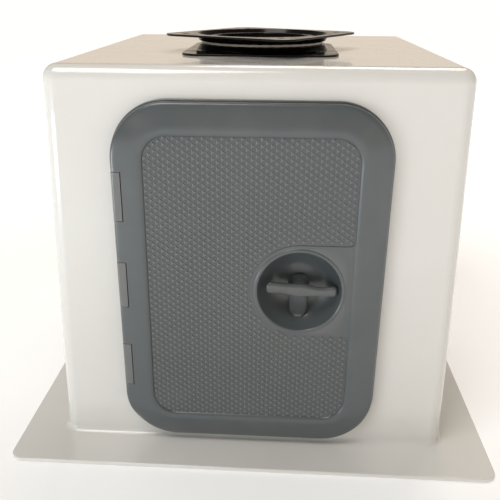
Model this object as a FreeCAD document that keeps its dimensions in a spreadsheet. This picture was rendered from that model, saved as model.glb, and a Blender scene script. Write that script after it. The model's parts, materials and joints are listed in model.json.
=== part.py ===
import FreeCAD, Part
import math
import os
import Sketcher
from FreeCAD import Placement, Rotation, Vector

# Boat seat box: a moulded shell open at the floor, an access hatch on its front face and a
# seat swivel on its top.  Millimetres.  Origin: on the floor under the middle of the box.
# +X is to the right seen from the front, -Y is the hatch side and +Z is up.
# Hatch pieces are drawn upright on the XZ plane and then leaned back onto the front face, so
# in their own frames X runs across the hatch, Z runs up it and -Y points out of the face.

DIMENSIONS = [
    # moulded box
    ("base_width", 440.0),
    ("base_depth", 468.0),
    ("box_height", 420.0),
    ("draft_angle", 1.75),
    ("wall", 4.0),
    ("corner_radius", 14.0),
    ("top_radius", 14.0),
    ("root_radius", 5.8),
    ("flange_side", 50.0),
    ("flange_front", 55.0),
    ("flange_corner", 15.0),
    ("flange_edge_radius", 1.5),
    ("board_size", 300.0),
    ("board_thickness", 12.0),
    ("board_corner", 10.0),
    # hatch frame, across X and up Z; heights above the front face
    ("hatch_across", -3.0),
    ("hatch_centre_height", 200.0),
    ("hatch_width", 280.0),
    ("hatch_height", 380.0),
    ("hatch_corner", 58.0),
    ("hatch_flange", 3.5),
    ("hatch_flange_radius", 1.5),
    ("collar_inset", 22.5),
    ("collar_wall", 3.0),
    ("collar_depth", 24.0),
    ("collar_rise", 9.4),
    ("cutout_gap", 1.0),
    ("seal_width", 5.0),
    ("seal_gap", 1.0),
    ("seal_rise", 9.7),
    ("seal_radius", 1.8),
    # frame screws
    ("screw_inset", 10.5),
    ("screw_row_height", 47.7),
    ("screw_row_across", 60.0),
    ("screw_shank_radius", 1.9),
    ("screw_hole_radius", 2.1),
    ("screw_head_radius", 3.8),
    ("screw_head_depth", 2.0),
    ("screw_head_gap", 0.1),
    ("countersink_angle", 40.0),
    ("screw_length", 18.0),
    # hinge along the left edge
    ("lug_pitch", 95.4),
    ("lug_length", 50.0),
    ("lug_width", 9.4),
    ("lug_rise", 14.4),
    ("lug_edge_radius", 2.8),
    ("lug_side_gap", 1.0),
    ("lug_end_gap", 0.5),
    ("hinge_inset", 3.0),
    ("hinge_rise", 11.6),
    ("pin_radius", 1.2),
    ("pin_running_gap", 0.06),
    ("pin_fixed_gap", 0.02),
    ("pin_length", 70.0),
    ("pin_bore_length", 262.0),
    # hatch lid
    ("lid_inset", 1.8),
    ("lid_bottom", 4.6),
    ("lid_top", 15.0),
    ("lid_underside", 10.0),
    ("lid_wall", 3.0),
    ("lid_edge_radius", 3.0),
    ("field_border_side", 32.7),
    ("field_border_end", 31.2),
    ("field_corner", 25.0),
    ("field_depth", 2.4),
    # dish in the lid; heights above the front face are positive outwards
    ("dish_across", 52.0),
    ("dish_up", -2.5),
    ("dish_rim_radius", 47.0),
    ("dish_rim_rise", 14.2),
    ("dish_mouth_radius", 43.1),
    ("dish_middle_radius", 41.5),
    ("dish_floor_radius", 30.0),
    ("dish_floor_depth", 14.0),
    ("dish_wall", 2.5),
    ("dish_floor_fillet", 8.0),
    ("dish_rim_fillet", 1.0),
    # latch
    ("spindle_radius", 6.25),
    ("spindle_running_gap", 0.05),
    ("bush_radius", 8.0),
    ("bush_seat_gap", 0.03),
    ("bush_flange_radius", 11.0),
    ("bush_flange_thickness", 2.5),
    ("bush_tail", 5.5),
    ("hub_radius", 12.0),
    ("hub_bottom", 11.7),
    ("hub_top", 1.0),
    ("grip_front", 9.0),
    ("grip_right", 38.5),
    ("grip_left", 34.5),
    ("grip_waist", 15.6),
    ("grip_end", 10.4),
    ("grip_edge_radius", 3.0),
    ("keel_width", 19.0),
    ("keel_foot", 22.0),
    ("keel_reach", 37.0),
    ("keel_tip_back", 1.2),
    ("keel_tip_front", 1.5),
    ("keel_front", 5.0),
    ("keel_corner_radius", 6.0),
    ("ring_section_radius", 0.9),
    ("ring_radius", 9.5),
    ("ring_depth", 12.75),
    ("cam_front", 25.0),
    ("cam_thickness", 4.0),
    ("cam_reach", 68.0),
    ("cam_width", 16.0),
    ("cam_hub_radius", 12.0),
    ("tang_size", 8.0),
    ("tang_gap", 0.1),
    ("latch_washer_radius", 8.0),
    ("latch_washer_thickness", 1.2),
    ("latch_screw_radius", 2.4),
    ("latch_screw_gap", 0.1),
    ("latch_screw_head_radius", 4.8),
    ("latch_screw_head_height", 3.0),
    ("latch_screw_reach", 12.0),
    # seat swivel; heights above the top of the box
    ("swivel_across", 0.0),
    ("swivel_forward", 45.0),
    ("swivel_plate", 171.0),
    ("swivel_corner", 22.0),
    ("swivel_sheet", 2.2),
    ("swivel_height", 19.0),
    ("swivel_turn", -30.5),
    ("swivel_bolt_spacing", 127.0),
    ("seat_hole_radius", 4.25),
    ("lap_radius", 80.0),
    ("cone_foot_radius", 77.2),
    ("cone_head_radius", 73.6),
    ("cone_skin", 1.4),
    ("bend_radius", 1.2),
    ("plate_edge_radius", 0.7),
    ("race_inner_radius", 56.0),
    ("race_rise", 7.8),
    ("ball_circle_radius", 66.0),
    ("ball_radius", 2.5),
    ("ball_gap", 0.3),
    ("ball_count", 36.0),
    ("cage_inner_radius", 62.0),
    ("cage_outer_radius", 70.5),
    ("cage_thickness", 2.0),
    ("cage_hole_gap", 0.3),
    ("keeper_inner_radius", 53.0),
    ("keeper_web", 2.0),
    ("keeper_outer_radius", 62.0),
    ("keeper_bottom", 3.2),
    # fasteners through the top of the box
    ("bolt_radius", 4.0),
    ("bolt_hole_radius", 4.5),
    ("bolt_length", 30.0),
    ("bolt_head_height", 2.2),
    ("bolt_head_radius", 6.5),
    ("hex_across_flats", 13.0),
    ("washer_radius", 8.0),
    ("washer_bore_radius", 4.5),
    ("washer_thickness", 1.6),
    ("nut_height", 6.5),
    ("nut_bore_radius", 4.05),
]

LEAN = "tan(dims.draft_angle * 1deg)"
FULL_TURN = 360.0
SWIVEL_BOLTS = 4
LUGS = 3

doc = FreeCAD.newDocument("seat_box")
sheet = doc.addObject("Spreadsheet::Sheet", "dims")
for row, (alias, number) in enumerate(DIMENSIONS, start=1):
    sheet.set(f"A{row}", alias)
    sheet.set(f"B{row}", str(number))
    sheet.setAlias(f"B{row}", alias)
doc.recompute()

parts = []


# ---------------------------------------------------------------- drawing helpers

def size(expression):
    """The value of an expression on the dimension sheet, in millimetres or degrees."""
    result = sheet.evalExpression(expression)
    return float(getattr(result, "Value", result))


def new_part(label):
    """A PartDesign body for one sub-part; its label names its file."""
    body = doc.addObject("PartDesign::Body", label)
    body.Label = label
    parts.append(body)
    return body


def origin_feature(body, role):
    return next(item for item in body.Origin.OriginFeatures if item.Role == role)


def sketch_on(body, name, plane, across="0", up="0", out="0"):
    """A sketch on one of the body's planes, shifted in the plane and off it."""
    sketch = body.newObject("Sketcher::SketchObject", name)
    sketch.AttachmentSupport = [(origin_feature(body, plane), "")]
    sketch.MapMode = "FlatFace"
    for axis, expression in zip("xyz", (across, up, out)):
        sketch.setExpression(f"AttachmentOffset.Base.{axis}", expression)
    return sketch


def bind(sketch, kind, *where, to):
    """Add a driving constraint whose value comes from the dimension sheet."""
    index = sketch.addConstraint(Sketcher.Constraint(kind, *where, size(to)))
    sketch.renameConstraint(index, f"{kind}{index}")
    sketch.setExpression(f"Constraints.{kind}{index}", to)


def draw_polygon(sketch, corners):
    """A closed outline of straight lines, each corner placed by two expressions."""
    start = sketch.GeometryCount
    count = len(corners)
    points = [Vector(size(across), size(up), 0) for across, up in corners]
    for index in range(count):
        sketch.addGeometry(Part.LineSegment(points[index], points[(index + 1) % count]))
    for index in range(count):
        following = (index + 1) % count
        sketch.addConstraint(
            Sketcher.Constraint("Coincident", start + index, 2, start + following, 1))
    for index, (across, up) in enumerate(corners):
        bind(sketch, "DistanceX", -1, 1, start + index, 1, to=across)
        bind(sketch, "DistanceY", -1, 1, start + index, 1, to=up)


def draw_circle(sketch, radius, across="0", up="0"):
    centre = Vector(size(across), size(up), 0)
    index = sketch.addGeometry(Part.Circle(centre, Vector(0, 0, 1), size(radius)))
    bind(sketch, "DistanceX", -1, 1, index, 3, to=across)
    bind(sketch, "DistanceY", -1, 1, index, 3, to=up)
    bind(sketch, "Radius", index, to=radius)


def draw_rounded_rectangle(sketch, width, height, radius):
    """A rectangle about the sketch's origin with four equal round corners."""
    start = sketch.GeometryCount
    half_width = size(width) / 2
    half_height = size(height) / 2
    bend = size(radius)
    inner_width = half_width - bend
    inner_height = half_height - bend
    sides = [
        ((-inner_width, -half_height), (inner_width, -half_height)),
        ((half_width, -inner_height), (half_width, inner_height)),
        ((inner_width, half_height), (-inner_width, half_height)),
        ((-half_width, inner_height), (-half_width, -inner_height)),
    ]
    centres = [
        (inner_width, -inner_height),
        (inner_width, inner_height),
        (-inner_width, inner_height),
        (-inner_width, -inner_height),
    ]
    for turn, (side, centre) in enumerate(zip(sides, centres)):
        sketch.addGeometry(Part.LineSegment(Vector(*side[0], 0), Vector(*side[1], 0)))
        circle = Part.Circle(Vector(*centre, 0), Vector(0, 0, 1), bend)
        first = math.radians(90 * (turn - 1))
        last = math.radians(90 * turn)
        sketch.addGeometry(Part.ArcOfCircle(circle, first, last))
    for index in range(8):
        following = start + (index + 1) % 8
        sketch.addConstraint(Sketcher.Constraint("Tangent", start + index, 2, following, 1))
    for index in (0, 4):
        sketch.addConstraint(Sketcher.Constraint("Horizontal", start + index))
    for index in (2, 6):
        sketch.addConstraint(Sketcher.Constraint("Vertical", start + index))
    for index in (1, 3, 5):
        sketch.addConstraint(Sketcher.Constraint("Equal", start + index, start + index + 2))
    sketch.addConstraint(Sketcher.Constraint("Symmetric", start, 1, start + 4, 1, -1, 1))
    bind(sketch, "DistanceX", start + 6, 1, start + 2, 1, to=width)
    bind(sketch, "DistanceY", start, 1, start + 4, 1, to=height)
    bind(sketch, "Radius", start + 1, to=radius)


# ---------------------------------------------------------------- feature helpers

def finish_feature(body, feature):
    body.Tip = feature
    doc.recompute()
    return feature


def pad(body, sketch, length, both_ways=False, backwards=False, taper=None):
    feature = body.newObject("PartDesign::Pad", "pad")
    feature.Profile = sketch
    feature.SideType = "Symmetric" if both_ways else "One side"
    feature.Reversed = backwards
    feature.setExpression("Length", length)
    if taper:
        feature.setExpression("TaperAngle", taper)
    return finish_feature(body, feature)


def pocket(body, sketch, depth, both_ways=False, backwards=False, taper=None):
    """A pocket that must remove something."""
    before = body.Shape.Volume
    feature = body.newObject("PartDesign::Pocket", "pocket")
    feature.Profile = sketch
    feature.SideType = "Symmetric" if both_ways else "One side"
    feature.Reversed = backwards
    feature.setExpression("Length", depth)
    if taper:
        feature.setExpression("TaperAngle", taper)
    finish_feature(body, feature)
    check_cut(body, feature, before)
    return feature


def revolve(body, sketch, kind="PartDesign::Revolution"):
    """Turn a sketch about its own vertical axis, to add or to cut."""
    before = body.Shape.Volume if kind == "PartDesign::Groove" else None
    feature = body.newObject(kind, "turned")
    feature.Profile = sketch
    feature.ReferenceAxis = (sketch, ["V_Axis"])
    feature.Angle = FULL_TURN
    finish_feature(body, feature)
    if before is not None:
        check_cut(body, feature, before)
    return feature


def check_cut(body, feature, before):
    if not body.Shape.Volume < before - 1e-3:
        raise RuntimeError(f"{body.Label}: {feature.Name} cut nothing")


def in_a_row(body, features, axis, length, count):
    feature = body.newObject("PartDesign::LinearPattern", "row")
    feature.Originals = features
    feature.Direction = (origin_feature(body, axis), [""])
    feature.setExpression("Length", length)
    feature.Occurrences = count
    return finish_feature(body, feature)


def around(body, features, axis, count):
    feature = body.newObject("PartDesign::PolarPattern", "circle")
    feature.Originals = features
    feature.Axis = (origin_feature(body, axis), [""])
    feature.Angle = FULL_TURN
    feature.Occurrences = count
    return finish_feature(body, feature)


def dress(body, kind, names, amount):
    """A fillet on named edges of the body's last feature."""
    if not names:
        raise RuntimeError(f"{body.Label}: nothing found to round")
    base = body.Tip
    feature = body.newObject(kind, "dressed")
    feature.Base = (base, names)
    feature.setExpression("Radius", amount)
    return finish_feature(body, feature)


def edges_where(body, test):
    """Names of the edges of the last feature that pass a test on their points."""
    names = []
    for number, edge in enumerate(body.Tip.Shape.Edges, start=1):
        points = [vertex.Point for vertex in edge.Vertexes]
        points.append(edge.valueAt((edge.FirstParameter + edge.LastParameter) / 2))
        if all(test(point) for point in points):
            names.append(f"Edge{number}")
    return names


def faces_where(body, test):
    """Names of the faces of the last feature whose centre and normal pass a test."""
    names = []
    for number, face in enumerate(body.Tip.Shape.Faces, start=1):
        if test(face.CenterOfMass, face.normalAt(0, 0)):
            names.append(f"Face{number}")
    return names


def near(value, expression, margin=0.05):
    return abs(value - size(expression)) < margin


def place_on_front(body):
    """Lean a hatch piece onto the front face of the box."""
    body.setExpression("Placement.Base.x", "dims.hatch_across")
    body.setExpression(
        "Placement.Base.y", f"dims.hatch_centre_height * {LEAN} - dims.base_depth / 2")
    body.setExpression("Placement.Base.z", "dims.hatch_centre_height")
    body.Placement.Rotation = Rotation(Vector(1, 0, 0), -size("dims.draft_angle"))
    doc.recompute()


def place_on_top(body, turn="0"):
    """Stand a swivel piece on the top of the box, turned about the swivel's axis."""
    body.setExpression("Placement.Base.x", "dims.swivel_across")
    body.setExpression("Placement.Base.y", "-dims.swivel_forward")
    body.setExpression("Placement.Base.z", "dims.box_height")
    body.Placement.Rotation = Rotation(Vector(0, 0, 1), size(turn))
    doc.recompute()


# ---------------------------------------------------------------- moulded box

def lean_walls(body):
    """Lean the four walls of the block inwards from the floor up."""
    block = body.Tip
    walls = faces_where(body, lambda centre, normal: abs(normal.z) < 0.01)
    feature = body.newObject("PartDesign::Draft", "lean")
    feature.Base = (block, walls)
    feature.NeutralPlane = (origin_feature(body, "XY_Plane"), [""])
    feature.setExpression("Angle", "dims.draft_angle")
    return finish_feature(body, feature)


def hollow_out(body):
    """Open the block at the floor and leave one wall thickness."""
    floor = faces_where(body, lambda centre, normal: near(centre.z, "0"))
    block = body.Tip
    feature = body.newObject("PartDesign::Thickness", "shell")
    feature.Base = (block, floor)
    feature.setExpression("Value", "dims.wall")
    feature.Reversed = True
    return finish_feature(body, feature)


def bolt_circles(sketch, radius):
    half = "dims.swivel_bolt_spacing / 2"
    for side in ("-1", "1"):
        for end in ("-1", "1"):
            draw_circle(sketch, radius, across=f"{side} * {half}", up=f"{end} * {half}")


def screw_circles(sketch, radius):
    """Twelve frame screws: two on each side, two on each end and one in each corner."""
    bend = "(dims.hatch_corner - dims.screw_inset) * cos(45deg)"
    side_row = ("dims.hatch_width / 2 - dims.screw_inset", "dims.screw_row_height")
    end_row = ("dims.screw_row_across", "dims.hatch_height / 2 - dims.screw_inset")
    corner = (f"dims.hatch_width / 2 - dims.hatch_corner + {bend}",
              f"dims.hatch_height / 2 - dims.hatch_corner + {bend}")
    for across, up in (side_row, end_row, corner):
        for side in ("-1", "1"):
            for end in ("-1", "1"):
                draw_circle(sketch, radius, across=f"{side} * ({across})", up=f"{end} * ({up})")


def sketch_on_front(body, name):
    """A sketch lying on the leaning front face, centred on the hatch."""
    sketch = body.newObject("Sketcher::SketchObject", name)
    sketch.AttachmentSupport = [(origin_feature(body, "XZ_Plane"), "")]
    sketch.MapMode = "FlatFace"
    tilt = Rotation(Vector(1, 0, 0), -size("dims.draft_angle"))
    sketch.AttachmentOffset = Placement(Vector(0, 0, 0), tilt)
    offsets = (
        "dims.hatch_across",
        "dims.hatch_centre_height",
        f"dims.base_depth / 2 - dims.hatch_centre_height * {LEAN}",
    )
    for axis, expression in zip("xyz", offsets):
        sketch.setExpression(f"AttachmentOffset.Base.{axis}", expression)
    return sketch


def build_box_shell():
    body = new_part("box_shell")
    half_width = "dims.base_width / 2"
    half_depth = "dims.base_depth / 2"
    footprint = sketch_on(body, "footprint", "XY_Plane")
    draw_polygon(footprint, [
        (f"-{half_width}", f"-{half_depth}"),
        (half_width, f"-{half_depth}"),
        (half_width, half_depth),
        (f"-{half_width}", half_depth),
    ])
    pad(body, footprint, "dims.box_height")
    lean_walls(body)

    def is_upright(point):
        return abs(abs(point.x) - abs(point.y) + size(f"{half_depth} - {half_width}")) < 0.05

    dress(body, "PartDesign::Fillet", edges_where(body, is_upright), "dims.corner_radius")
    rim = edges_where(body, lambda point: near(point.z, "dims.box_height"))
    dress(body, "PartDesign::Fillet", rim, "dims.top_radius")
    hollow_out(body)

    flange = sketch_on(body, "flange", "XY_Plane")
    draw_rounded_rectangle(flange, "dims.base_width + 2 * dims.flange_side",
                           "dims.base_depth + 2 * dims.flange_front", "dims.flange_corner")
    draw_rounded_rectangle(flange, "dims.base_width - dims.wall", "dims.base_depth - dims.wall",
                           "dims.corner_radius - dims.wall / 2")
    pad(body, flange, "dims.wall")

    def at_root(point):
        inside = abs(point.x) < size(half_width) + 1 and abs(point.y) < size(half_depth) + 1
        return near(point.z, "dims.wall") and inside

    def at_flange_edge(point):
        outside = abs(point.x) > size(half_width) + 1 or abs(point.y) > size(half_depth) + 1
        return near(point.z, "dims.wall") and outside

    dress(body, "PartDesign::Fillet", edges_where(body, at_root), "dims.root_radius")
    dress(body, "PartDesign::Fillet", edges_where(body, at_flange_edge),
          "dims.flange_edge_radius")

    opening = sketch_on_front(body, "hatch_cutout")
    draw_rounded_rectangle(
        opening,
        "dims.hatch_width - 2 * dims.collar_inset + 2 * dims.cutout_gap",
        "dims.hatch_height - 2 * dims.collar_inset + 2 * dims.cutout_gap",
        "dims.hatch_corner - dims.collar_inset + dims.cutout_gap")
    pocket(body, opening, "4 * dims.wall")
    pilots = sketch_on_front(body, "screw_pilots")
    screw_circles(pilots, "dims.screw_hole_radius")
    pocket(body, pilots, "4 * dims.wall")
    bolts = sketch_on(body, "swivel_bolt_holes", "XY_Plane", across="dims.swivel_across",
                      up="-dims.swivel_forward", out="dims.box_height")
    bolt_circles(bolts, "dims.bolt_hole_radius")
    pocket(body, bolts, "2 * dims.wall")


def build_backing_board():
    """Plywood bonded under the top, so that the swivel bolts have something to grip."""
    body = new_part("top_backing_board")
    outline = sketch_on(body, "outline", "XY_Plane", out="-dims.wall")
    draw_rounded_rectangle(outline, "dims.board_size", "dims.board_size", "dims.board_corner")
    bolt_circles(outline, "dims.bolt_hole_radius")
    pad(body, outline, "dims.board_thickness", backwards=True)
    place_on_top(body)


# ---------------------------------------------------------------- hatch frame and seal

def ring_sketch(body, name, outer_inset, ring_width, out):
    """Two concentric rounded rectangles, set in from the hatch's outline."""
    sketch = sketch_on(body, name, "XZ_Plane", out=out)
    for inset in (outer_inset, f"{outer_inset} + {ring_width}"):
        draw_rounded_rectangle(sketch, f"dims.hatch_width - 2 * ({inset})",
                               f"dims.hatch_height - 2 * ({inset})",
                               f"dims.hatch_corner - ({inset})")
    return sketch


def hinge_line_sketch(body, name, radius, out="0"):
    """A circle on the hinge's axis, seen along the left edge of the hatch."""
    sketch = sketch_on(body, name, "XY_Plane", out=out)
    draw_circle(sketch, radius,
                across="dims.lid_inset + dims.hinge_inset - dims.hatch_width / 2",
                up="-dims.hinge_rise")
    return sketch


def build_hatch_frame():
    body = new_part("hatch_frame")
    flange = ring_sketch(body, "flange", "0", "dims.collar_inset + dims.collar_wall", "0")
    pad(body, flange, "dims.hatch_flange")
    rim = edges_where(body, lambda point: near(-point.y, "dims.hatch_flange")
                      and (near(abs(point.x), "dims.hatch_width / 2", 18)
                           or near(abs(point.z), "dims.hatch_height / 2", 18)))
    dress(body, "PartDesign::Fillet", rim, "dims.hatch_flange_radius")
    collar = ring_sketch(body, "collar", "dims.collar_inset", "dims.collar_wall",
                         "-dims.collar_depth")
    pad(body, collar, "dims.collar_depth + dims.collar_rise")

    left = "dims.lid_inset - dims.hatch_width / 2"
    lug_outline = sketch_on(body, "lug", "XZ_Plane", up="-dims.lug_pitch",
                            out="dims.hatch_flange / 2")
    draw_polygon(lug_outline, [
        (left, "-dims.lug_length / 2"),
        (f"{left} + dims.lug_width", "-dims.lug_length / 2"),
        (f"{left} + dims.lug_width", "dims.lug_length / 2"),
        (left, "dims.lug_length / 2"),
    ])
    lug = pad(body, lug_outline, "dims.lug_rise - dims.hatch_flange / 2")
    in_a_row(body, [lug], "Z_Axis", "dims.lug_pitch * 2", LUGS)
    outer_edges = edges_where(body, lambda point: near(point.x, left)
                              and near(-point.y, "dims.lug_rise"))
    dress(body, "PartDesign::Fillet", outer_edges, "dims.lug_edge_radius")
    bore = hinge_line_sketch(body, "pin_bore", "dims.pin_radius + dims.pin_fixed_gap")
    pocket(body, bore, "dims.hatch_height", both_ways=True)

    holes = sketch_on(body, "screw_holes", "XZ_Plane", out="dims.hatch_flange")
    screw_circles(holes, "dims.screw_hole_radius")
    pocket(body, holes, "dims.hatch_flange")
    countersinks = sketch_on(body, "countersinks", "XZ_Plane", out="dims.hatch_flange")
    screw_circles(countersinks, "dims.screw_head_radius + dims.screw_head_gap")
    pocket(body, countersinks, "dims.screw_head_depth", taper="-dims.countersink_angle")
    place_on_front(body)


def build_frame_screws():
    body = new_part("hatch_frame_screws")
    shanks = sketch_on(body, "shanks", "XZ_Plane", out="dims.hatch_flange - 0.5")
    screw_circles(shanks, "dims.screw_shank_radius")
    pad(body, shanks, "dims.screw_length", backwards=True)
    heads = sketch_on(body, "heads", "XZ_Plane", out="dims.hatch_flange")
    screw_circles(heads, "dims.screw_head_radius")
    pad(body, heads, "dims.screw_head_depth", backwards=True, taper="-dims.countersink_angle")
    place_on_front(body)


def build_hatch_seal():
    body = new_part("hatch_seal")
    section = ring_sketch(body, "section", "dims.collar_inset - dims.seal_gap - dims.seal_width",
                          "dims.seal_width", "dims.hatch_flange")
    pad(body, section, "dims.seal_rise - dims.hatch_flange")
    crown = edges_where(body, lambda point: near(-point.y, "dims.seal_rise"))
    dress(body, "PartDesign::Fillet", crown, "dims.seal_radius")
    place_on_front(body)


def build_hinge_pins():
    body = new_part("hinge_pins")
    section = hinge_line_sketch(body, "section", "dims.pin_radius", out="-dims.lug_pitch")
    pin = pad(body, section, "dims.pin_length", both_ways=True)
    in_a_row(body, [pin], "Z_Axis", "dims.lug_pitch * 2", LUGS)
    place_on_front(body)


# ---------------------------------------------------------------- hatch lid

def lid_outline(body, name, inset, out):
    sketch = sketch_on(body, name, "XZ_Plane", out=out)
    draw_rounded_rectangle(sketch, f"dims.hatch_width - 2 * ({inset})",
                           f"dims.hatch_height - 2 * ({inset})",
                           f"dims.hatch_corner - ({inset})")
    return sketch


def dish_sketch(body, name, corners):
    """A turned profile for the dish: radius from its axis, then height above the face."""
    sketch = sketch_on(body, name, "XY_Plane", across="dims.dish_across", out="dims.dish_up")
    draw_polygon(sketch, [(radius, f"-({height})") for radius, height in corners])
    return sketch


def build_hatch_lid():
    body = new_part("hatch_lid")
    pad(body, lid_outline(body, "outline", "dims.lid_inset", "dims.lid_bottom"),
        "dims.lid_top - dims.lid_bottom")
    crown = edges_where(body, lambda point: near(-point.y, "dims.lid_top"))
    dress(body, "PartDesign::Fillet", crown, "dims.lid_edge_radius")
    inside = lid_outline(body, "inside", "dims.lid_inset + dims.lid_wall", "dims.lid_bottom")
    pocket(body, inside, "dims.lid_underside - dims.lid_bottom", backwards=True)
    field = sketch_on(body, "field", "XZ_Plane", out="dims.lid_top")
    draw_rounded_rectangle(
        field,
        "dims.hatch_width - 2 * dims.lid_inset - 2 * dims.field_border_side",
        "dims.hatch_height - 2 * dims.lid_inset - 2 * dims.field_border_end",
        "dims.field_corner")
    pocket(body, field, "dims.field_depth")

    floor = "-dims.dish_floor_depth"
    bowl = dish_sketch(body, "bowl", [
        ("0", f"{floor} - dims.dish_wall"),
        ("dims.dish_floor_radius + dims.dish_wall / 2", f"{floor} - dims.dish_wall"),
        ("dims.dish_middle_radius + dims.dish_wall", "0"),
        ("dims.dish_rim_radius", "dims.lid_underside"),
        ("dims.dish_rim_radius", "dims.dish_rim_rise"),
        ("0", "dims.dish_rim_rise"),
    ])
    revolve(body, bowl)
    cavity = dish_sketch(body, "cavity", [
        ("0", floor),
        ("dims.dish_floor_radius", floor),
        ("dims.dish_middle_radius", "0"),
        ("dims.dish_mouth_radius", "dims.dish_rim_rise"),
        ("dims.dish_mouth_radius", "dims.dish_rim_rise + dims.lid_wall"),
        ("0", "dims.dish_rim_rise + dims.lid_wall"),
    ])
    revolve(body, cavity, "PartDesign::Groove")

    def on_dish(point, radius, height):
        reach = math.hypot(point.x - size("dims.dish_across"), point.z - size("dims.dish_up"))
        return near(reach, radius) and near(-point.y, height)

    floor_edge = edges_where(body, lambda point: on_dish(point, "dims.dish_floor_radius", floor))
    dress(body, "PartDesign::Fillet", floor_edge, "dims.dish_floor_fillet")
    rim_edges = edges_where(
        body, lambda point: on_dish(point, "dims.dish_mouth_radius", "dims.dish_rim_rise")
        or on_dish(point, "dims.dish_rim_radius", "dims.dish_rim_rise"))
    dress(body, "PartDesign::Fillet", rim_edges, "dims.dish_rim_fillet")
    spindle_bore = sketch_on(body, "spindle_bore", "XZ_Plane", out="dims.lid_bottom")
    draw_circle(spindle_bore, "dims.bush_radius + dims.bush_seat_gap",
                across="dims.dish_across", up="dims.dish_up")
    pocket(body, spindle_bore, "2 * dims.dish_floor_depth")

    left = "dims.lid_inset - dims.hatch_width / 2"
    notch = sketch_on(body, "notch", "XZ_Plane", up="-dims.lug_pitch", out="dims.lid_top + 1")
    half_notch = "(dims.lug_length / 2 + dims.lug_end_gap)"
    inner = f"{left} + dims.lug_width + dims.lug_side_gap"
    draw_polygon(notch, [
        (f"{left} - 1", f"-{half_notch}"),
        (inner, f"-{half_notch}"),
        (inner, half_notch),
        (f"{left} - 1", half_notch),
    ])
    notch_cut = pocket(body, notch, "dims.lid_top")
    in_a_row(body, [notch_cut], "Z_Axis", "dims.lug_pitch * 2", LUGS)
    bore = hinge_line_sketch(body, "pin_bore", "dims.pin_radius + dims.pin_running_gap")
    pocket(body, bore, "dims.pin_bore_length", both_ways=True)
    place_on_front(body)


# ---------------------------------------------------------------- latch

def latch_sketch(body, name, out):
    """A sketch across the latch's axis, at a height above the front face."""
    return sketch_on(body, name, "XZ_Plane", across="dims.dish_across", up="dims.dish_up",
                     out=out)


def disc(body, name, radius, out, thickness, bore=None):
    """A disc or ring on the latch's axis that starts at a height and runs outwards."""
    sketch = latch_sketch(body, name, out)
    draw_circle(sketch, radius)
    if bore:
        draw_circle(sketch, bore)
    return pad(body, sketch, thickness)


def build_latch_bush():
    body = new_part("latch_bush")
    bore = "dims.spindle_radius + dims.spindle_running_gap"
    back = "-dims.dish_floor_depth - dims.dish_wall"
    disc(body, "tube", "dims.bush_radius", f"{back} - dims.bush_tail",
         "dims.bush_tail + dims.dish_wall", bore)
    disc(body, "flange", "dims.bush_flange_radius", f"{back} - dims.bush_flange_thickness",
         "dims.bush_flange_thickness", bore)
    place_on_front(body)


def build_latch_handle():
    body = new_part("latch_handle")
    disc(body, "hub", "dims.hub_radius", "-dims.hub_bottom", "dims.hub_bottom - dims.hub_top")
    disc(body, "spindle", "dims.spindle_radius", "-dims.cam_front",
         "dims.cam_front - dims.hub_bottom + 1")
    grip = latch_sketch(body, "grip", "-dims.hub_top")
    draw_polygon(grip, [
        ("-dims.grip_left", "-dims.grip_end / 2"),
        ("-dims.grip_left * 0.35", "-dims.grip_waist / 2"),
        ("dims.grip_right * 0.35", "-dims.grip_waist / 2"),
        ("dims.grip_right", "-dims.grip_end / 2 - 1"),
        ("dims.grip_right", "dims.grip_end / 2 - 1"),
        ("dims.grip_right * 0.35", "dims.grip_waist / 2"),
        ("-dims.grip_left * 0.35", "dims.grip_waist / 2"),
        ("-dims.grip_left", "dims.grip_end / 2"),
    ])
    pad(body, grip, "dims.hub_top + dims.grip_front")
    front_edges = edges_where(body, lambda point: near(-point.y, "dims.grip_front"))
    dress(body, "PartDesign::Fillet", front_edges, "dims.grip_edge_radius")
    keel = sketch_on(body, "keel", "YZ_Plane", up="dims.dish_up",
                     out="dims.dish_across - dims.keel_width / 2")
    draw_polygon(keel, [
        ("dims.hub_bottom", "0"),
        ("dims.hub_bottom", "-dims.keel_foot"),
        ("dims.keel_tip_back", "-dims.keel_reach"),
        ("-dims.keel_tip_front", "-dims.keel_reach"),
        ("-dims.keel_front", "0"),
    ])
    pad(body, keel, "dims.keel_width")

    def at_tip_side(point):
        return (near(point.z, "dims.dish_up - dims.keel_reach")
                and near(abs(point.x - size("dims.dish_across")), "dims.keel_width / 2"))

    dress(body, "PartDesign::Fillet", edges_where(body, at_tip_side), "dims.keel_corner_radius")
    tang = latch_sketch(body, "tang", "-dims.cam_front")
    draw_polygon(tang, square("dims.tang_size"))
    pad(body, tang, "dims.cam_thickness", backwards=True)
    thread = latch_sketch(body, "thread", "-dims.cam_front - dims.cam_thickness")
    draw_circle(thread, "dims.latch_screw_radius + dims.latch_screw_gap / 2")
    pocket(body, thread, "dims.latch_screw_reach + 1", backwards=True)
    place_on_front(body)


def square(width):
    return [(f"{side} * ({width}) / 2", f"{end} * ({width}) / 2")
            for side, end in (("-1", "-1"), ("1", "-1"), ("1", "1"), ("-1", "1"))]


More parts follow.
